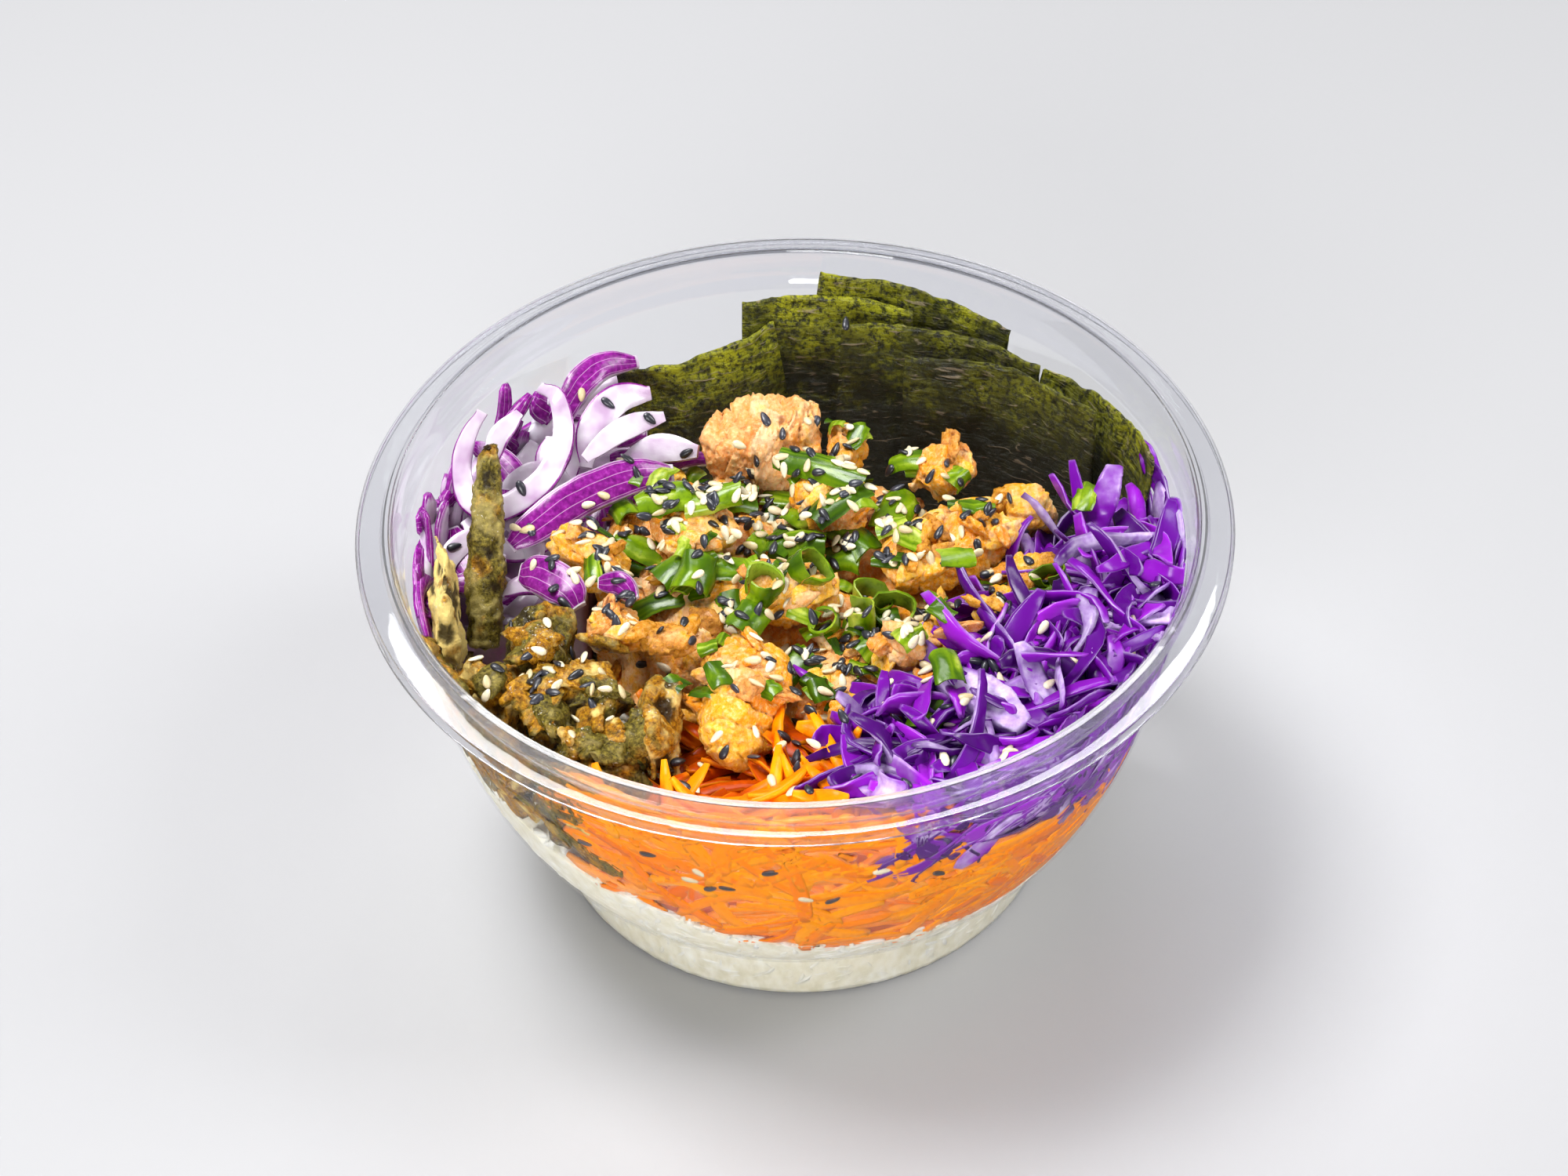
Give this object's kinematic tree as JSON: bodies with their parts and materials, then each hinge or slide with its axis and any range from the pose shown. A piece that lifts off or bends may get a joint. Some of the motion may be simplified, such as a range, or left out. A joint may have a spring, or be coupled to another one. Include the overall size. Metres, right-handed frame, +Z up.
{
  "type": "poke bowl",
  "caption": "Clear plastic bowl of rice topped with flaked cooked salmon, shredded carrot and purple cabbage, nori sheets, crisp fish skin and red onion.",
  "frame": {"origin": "middle of the foot's underside, on the surface the bowl stands on", "axes": "+Z up along the bowl's axis; -Y towards the front, where the carrot is; +X to the right, where the cabbage is"},
  "size_m": [0.185, 0.185, 0.0943],
  "materials": {
    "bowl": "clear thermoformed plastic, glossy",
    "rice": "cooked white rice, slightly moist",
    "carrot": "raw shredded carrot, moist",
    "cabbage": "raw shredded purple cabbage with pale cut edges",
    "salmon": "cooked flaked salmon, moist and browned",
    "nori": "dried seaweed sheet with a fibrous sheen",
    "crisp": "fried battered fish skin",
    "onion": "raw red onion, white flesh with purple skin"
  },
  "bodies": {
    "root": {"bowl": "bowl", "cabbage": "cabbage", "cabbage_tall": "cabbage", "cabbage_wedge": "cabbage", "carrot": "carrot", "crisp_dark": "crisp", "crisp_front": "crisp", "crisp_golden": "crisp", "crisp_grey": "crisp", "crisp_inner": "crisp", "crisp_low": "crisp", "crisp_low_back": "crisp", "crisp_slab": "crisp", "crisp_stick": "crisp", "crisp_wall": "crisp", "crisp_yellow": "crisp", "nori_front": "nori", "nori_left": "nori", "nori_middle": "nori", "nori_right": "nori", "nori_second": "nori", "nori_tip": "nori", "onion": "onion", "onion_back": "onion", "onion_broad": "onion", "onion_by_wall": "onion", "onion_cut_end": "onion", "onion_diagonal": "onion", "onion_hook": "onion", "onion_inner_hook": "onion", "onion_pink": "onion", "onion_purple_band": "onion", "onion_small": "onion", "onion_striped": "onion", "rice": "rice", "salmon_back": "salmon", "salmon_back_right": "salmon", "salmon_crisp_edge": "salmon", "salmon_far_right": "salmon", "salmon_flakes": "salmon", "salmon_front": "salmon", "salmon_front_right": "salmon", "salmon_left": "salmon", "salmon_left_front": "salmon", "salmon_middle": "salmon", "salmon_middle_back": "salmon", "salmon_middle_left": "salmon", "salmon_middle_right": "salmon", "salmon_right": "salmon", "salmon_skin_scrap": "salmon", "salmon_upper_right": "salmon"}
  },
  "joints": []
}
